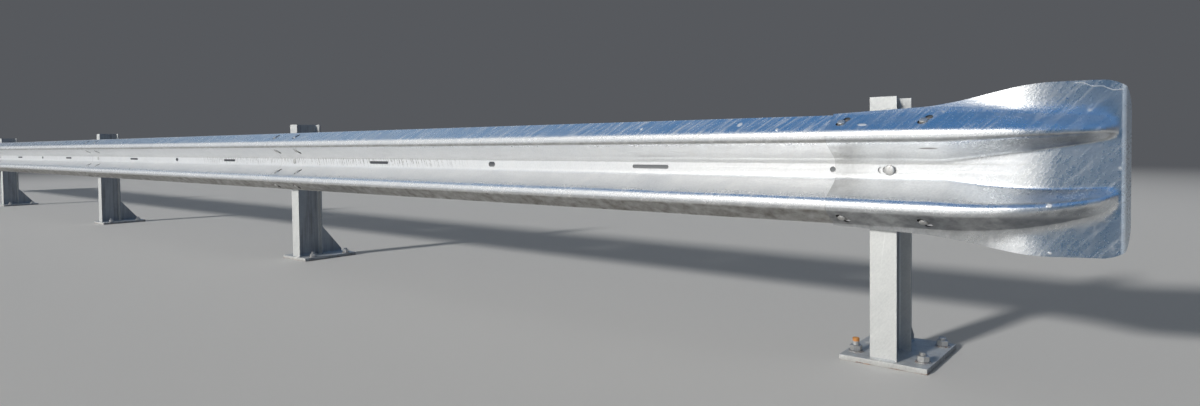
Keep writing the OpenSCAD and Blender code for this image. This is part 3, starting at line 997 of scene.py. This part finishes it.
# Splice bolts: a button in front, washer and nut behind
spliceBolt = {
    "head": (11, 5.5), "shank": (8, 10), "washer": (24, 8.6, 3), "nut": (24, 13), "pitch": 2, "thread": 1,
    "tip": 9, "shift": -5.5,
}
button, washer, nut, rod = makeSet(spliceBolt)
for i in range(run["posts"]):
    heads, nuts, rings = [], [], []
    for dx in (-holes["column"], holes["column"]):
        for flankSpot in spliceSpots(withInner=i not in (0, run["posts"] - 1)):
            spot = splicePlace(i) @ onFlank(dx, flankSpot) @ place(spliceBolt["shift"], 0, 0)
            if (spot.to_3x3() @ Vector((0, 0, 1))).y > 0:
                spot = spot @ turn("X", 180)
            heads.append((button, spot @ place(0, 0, half)))
            behind = spot @ place(0, 0, -half - sheet["thick"] - run["seat"]) @ turn("X", 180)
            rings.append((washer, behind))
            nuts += [(rod, behind), (nut, behind @ place(0, 0, spliceBolt["washer"][2]) @ anyTurn())]
    gather(f"splice_buttons_{i + 1}", heads, boltZinc)
    gather(f"splice_washers_{i + 1}", rings, washerZinc)
    gather(f"splice_nuts_{i + 1}", nuts, boltZinc)

# Post bolts: through the valley and the post's front flange
postBolt = {
    "head": (14.5, 5), "shank": (6, 20), "washer": (10.6, 6.4, 2.5), "nut": (19, 10), "pitch": 1.75,
    "thread": 0.9, "tip": 8,
}
button, washer, nut, rod = makeSet(postBolt)
for i in range(run["posts"]):
    spot = splicePlace(i) @ inValley(steel["bolt"] - run["splice"]) @ place(0, 0, half)
    behind = place(postX(i) + steel["bolt"], steel["flange"], beamZ) @ turn("X", -90)
    nutSpot = behind @ place(0, 0, postBolt["washer"][2]) @ anyTurn()
    gather(f"post_button_{i + 1}", [(button, spot)], boltZinc)
    gather(f"post_nut_{i + 1}", [(rod, behind), (washer, behind), (nut, nutSpot)], boltZinc)

# Anchor bolts: threaded rods of uneven length with nuts and washers on the plates
anchor = {
    "rod": (10, 2.5, 1.3), "washer": (21, 10.6, 3), "nut": (30, 16), "grid": (185, 200), "front": 48,
    "corners": ((-0.5, 0), (0.5, 0), (0.5, 1), (-0.5, 1)), "tips": (20, 9, 8, 11), "uneven": 3, "bare": 9,
}
washer, nut = makeWasher(*anchor["washer"]), makeNut(*anchor["nut"])
nutTop = anchor["washer"][2] + anchor["nut"][1]
rustyEnd = makeRustyEnd("rustyEnd", (steel["plateTop"] + nutTop + anchor["bare"]) * mm)
for i in range(run["posts"]):
    nuts, rings = [], []
    for k, (dx, dy) in enumerate(anchor["corners"]):
        x, y = postX(i) + dx * anchor["grid"][0], anchor["front"] + dy * anchor["grid"][1]
        spot = place(x, y, steel["plateTop"])
        uneven = rng.uniform(-1, 1) * anchor["uneven"] if i < run["posts"] - 1 else 0
        rod = makeThread(*anchor["rod"], nutTop + anchor["tips"][k] + uneven)
        if k == 0:
            gather(f"anchor_tip_{i + 1}", [(rod, spot)], rustyEnd)
        else:
            nuts.append((rod, spot))
        rings.append((washer, spot))
        nuts.append((nut, spot @ place(0, 0, anchor["washer"][2]) @ anyTurn()))
    gather(f"anchor_nuts_{i + 1}", nuts, boltZinc)
    gather(f"anchor_washers_{i + 1}", rings, washerZinc)

print("stage: welds")
weld = {
    "leg": 5.0, "ripple": 0.35, "pitch": 3.2, "step": 1.1, "bulge": 0.26, "chords": 6, "clear": 2,
    "thin": 0.35, "taper": 6, "beside": 5, "gusset": (13, 133),
}


def layBead(bm, start, end, wall):
    # A fillet bead along the plate; wall points from the bead to the upright face
    start, end, wall = Vector(start), Vector(end), Vector(wall)
    along = end - start
    count = max(4, int(along.length / weld["step"]))
    phase = rng.uniform(0, 2 * pi)
    column = bm.verts.layers.int["column"]
    vert = bm.verts.new((0, 0, 0))
    chain = [vert]
    for k in range(weld["chords"]):
        vert = nextVert(bm, vert)
        vert[column] = k + 1
        chain.append(vert)
    row, fresh = list({e for v in chain for e in v.link_edges}), set(chain)
    for n in range(count + 1):
        if n:
            fresh, row = growRow(bm, row)
        t = n / count
        ripple = weld["ripple"] * sin(2 * pi * along.length * t / weld["pitch"] + phase)
        leg = (weld["leg"] + ripple) * min(1, weld["thin"] + weld["taper"] * min(t, 1 - t))
        for vert in fresh:
            a = pi / 2 * vert[column] / weld["chords"]
            reach = leg * (1 - weld["bulge"] * sin(2 * a))
            rise = Vector((0, 0, reach * sin(a)))
            vert.co = (start + along * t - wall * reach * cos(a) + rise) * mm


def makeWelds(i):
    bm = bmesh.new()
    bm.verts.layers.int.new("column")
    x, top, edge, rear = postX(i), steel["plateTop"], steel["width"] / 2, steel["depth"]
    web, flange, root, clear = steel["web"] / 2, steel["flange"], steel["root"], weld["clear"]
    near, far = weld["gusset"]
    layBead(bm, (x - edge + clear, 0, top), (x + edge - clear, 0, top), (0, 1, 0))
    for side in (-1, 1):
        tip, foot, core = x + side * (edge - clear), x + side * (web + root), x + side * web
        layBead(bm, (tip, rear, top), (x + side * root, rear, top), (0, -1, 0))
        layBead(bm, (core, flange + root, top), (core, rear - flange - root, top), (-side, 0, 0))
        layBead(bm, (tip, flange, top), (foot, flange, top), (0, -1, 0))
        layBead(bm, (tip, rear - flange, top), (foot, rear - flange, top), (0, 1, 0))
        beside = x + side * weld["beside"]
        layBead(bm, (beside, rear + near, top), (beside, rear + far, top), (-side, 0, 0))
    turnOut(bm)
    dressPiece(bm, f"weld_beads_{i + 1}", postZinc, angle=60)


for i in range(run["posts"]):
    makeWelds(i)

print("stage: floor and light")
studio = {
    "backdrop": (0.095, 0.10, 0.11), "glow": (1.10, 1.095, 1.08), "soft": (0.74, 0.77, 0.80),
    "dim": (0.03, 0.095, 0.18), "right": (13, (-0.09, 0.11)), "left": (-43, (-0.28, 0.28)),
    "front": (-6, (-0.12, 0.12)), "backSpan": (-0.30, 0.15), "leftSpan": (0.40, 0.90),
    "top": (0.06, 0.19, 0.42), "topLeft": (0.24, 0.35, 0.50), "topSpan": (0.64, 0.84), "topBehind": 0.10,
    "topRight": 0.26, "topFront": 0.24, "leftRise": 0.36,
    "lampSpan": (0.966, 0.994), "lamp": (7.0, 6.9, 6.7), "fill": (0.85, 0.92, 1.0), "fillLevel": 0.15,
    "floor": (0.80, 0.79, 0.77), "floorSize": 400, "floorSides": 96, "floorDrop": 1, "floorRough": 0.9,
    "floorFade": (8, 20), "mirrorFade": (0.5, 1.3), "floorFrom": (6.6, 0, 0),
    "keyFrom": (-0.20, -0.91, 0.36), "keyLevel": 2.7, "keyAngle": 5, "keyColour": (1.0, 0.98, 0.95),
}


def behindShare(tree, direction):
    return tree.ramp(tree.along(direction, (0, 1, 0)), *studio["backSpan"])


def beyond(tree, direction, heading, soft, side=1):
    # 1 to the right of a heading, which counts from straight ahead; side -1 turns it round
    angle = radians(heading)
    return tree.ramp(tree.along(direction, (side * cos(angle), side * sin(angle), 0)), *soft)


def horizon(tree, direction):
    # A bright panel in front, a soft one to the left, dim to the right, plain behind the barrier
    left = beyond(tree, direction, *studio["left"], -1)
    right = beyond(tree, direction, *studio["right"])
    return tree.cover(studio["glow"], (left, studio["soft"]), (right, studio["dim"]),
                      (behindShare(tree, direction), studio["backdrop"]))


def makeFloor():
    # Matt near the barrier, backdrop further out. Mirrored rays meet the world's panels in it
    # instead, and in front of the barrier they do so almost at once
    bm = bmesh.new()
    bmesh.ops.create_circle(bm, cap_ends=True, segments=studio["floorSides"], radius=studio["floorSize"])
    floor = asObject(asMesh(bm, "floor"), "floor")
    floor.location.z = -studio["floorDrop"] * mm
    paint = Paint("floorPaint")
    direction = paint.vector("NORMALIZE", paint.vector("SUBTRACT", paint.place, studio["floorFrom"]))
    mirrored = paint.add("ShaderNodeLightPath", {}, {}, "Is Glossy Ray")
    far = paint.ramp(paint.vector("LENGTH", paint.place, out="Value"), *studio["floorFade"])
    front = paint.ramp(paint.along(paint.place, (0, -1, 0)), *studio["mirrorFade"])
    far = far.atLeast(front * mirrored)
    paint.finish(studio["floor"], studio["floorRough"])
    matt = Wire(paint.tree, paint.shader.outputs[0])
    shown = paint.mix(mirrored, studio["backdrop"], horizon(paint, direction))
    glowing = paint.add("ShaderNodeEmission", {}, {"Color": shown})
    both = paint.add("ShaderNodeMixShader", {}, {0: far, 1: matt, 2: glowing})
    paint.tree.links.new(both.socket, paint.tree.nodes["Material Output"].inputs[0])
    floor.data.materials.append(paint.material)


def makeWorld():
    # Seen rays meet the plain backdrop, mirrored and refracted ones the studio, the rest a fill
    world = bpy.data.worlds.new("studio")
    bpy.context.scene.world = world
    world.use_nodes = True
    tree = NodeTree(world.node_tree)
    direction = tree.add("ShaderNodeTexCoord", {}, {}, "Generated")
    height = tree.along(direction, (0, 0, 1)) + behindShare(tree, direction) * studio["topBehind"]
    height = height + beyond(tree, direction, *studio["right"]) * studio["topRight"]
    height = height + beyond(tree, direction, *studio["front"]) * studio["topFront"]
    left = tree.ramp(tree.along(direction, (-1, 0, 0)), *studio["leftSpan"])
    height = height + left * studio["leftRise"]
    above = tree.mix(left, studio["top"], studio["topLeft"])
    fill = tree.add("ShaderNodeBackground", {}, {"Color": studio["fill"], "Strength": studio["fillLevel"]})
    rays = [tree.add("ShaderNodeLightPath", {}, {}, kind) for kind in
            ("Is Camera Ray", "Is Glossy Ray", "Is Transmission Ray")]
    seen = (rays[0] + rays[1] + rays[2]).atMost(1.0)
    lamp = tree.along(direction, Vector(studio["keyFrom"]).normalized())
    colour = tree.cover(horizon(tree, direction), (tree.ramp(height, *studio["topSpan"]), above),
                        (tree.ramp(lamp, *studio["lampSpan"]), studio["lamp"]),
                        (rays[0], studio["backdrop"]))
    shown = tree.add("ShaderNodeBackground", {}, {"Color": colour})
    both = tree.add("ShaderNodeMixShader", {}, {0: seen, 1: fill, 2: shown})
    tree.tree.links.new(both.socket, world.node_tree.nodes["World Output"].inputs[0])


def makeKey():
    key = asObject(bpy.data.lights.new("key", "SUN"), "key")
    key.data.energy, key.data.angle = studio["keyLevel"], radians(studio["keyAngle"])
    key.data.color = studio["keyColour"]
    key.visible_glossy = False  # metal mirrors the soft lamp of the world instead
    key.rotation_euler = Vector(studio["keyFrom"]).to_track_quat("Z", "Y").to_euler()


makeFloor()
makeWorld()
makeKey()
bpy.context.scene.view_settings.view_transform = "Standard"
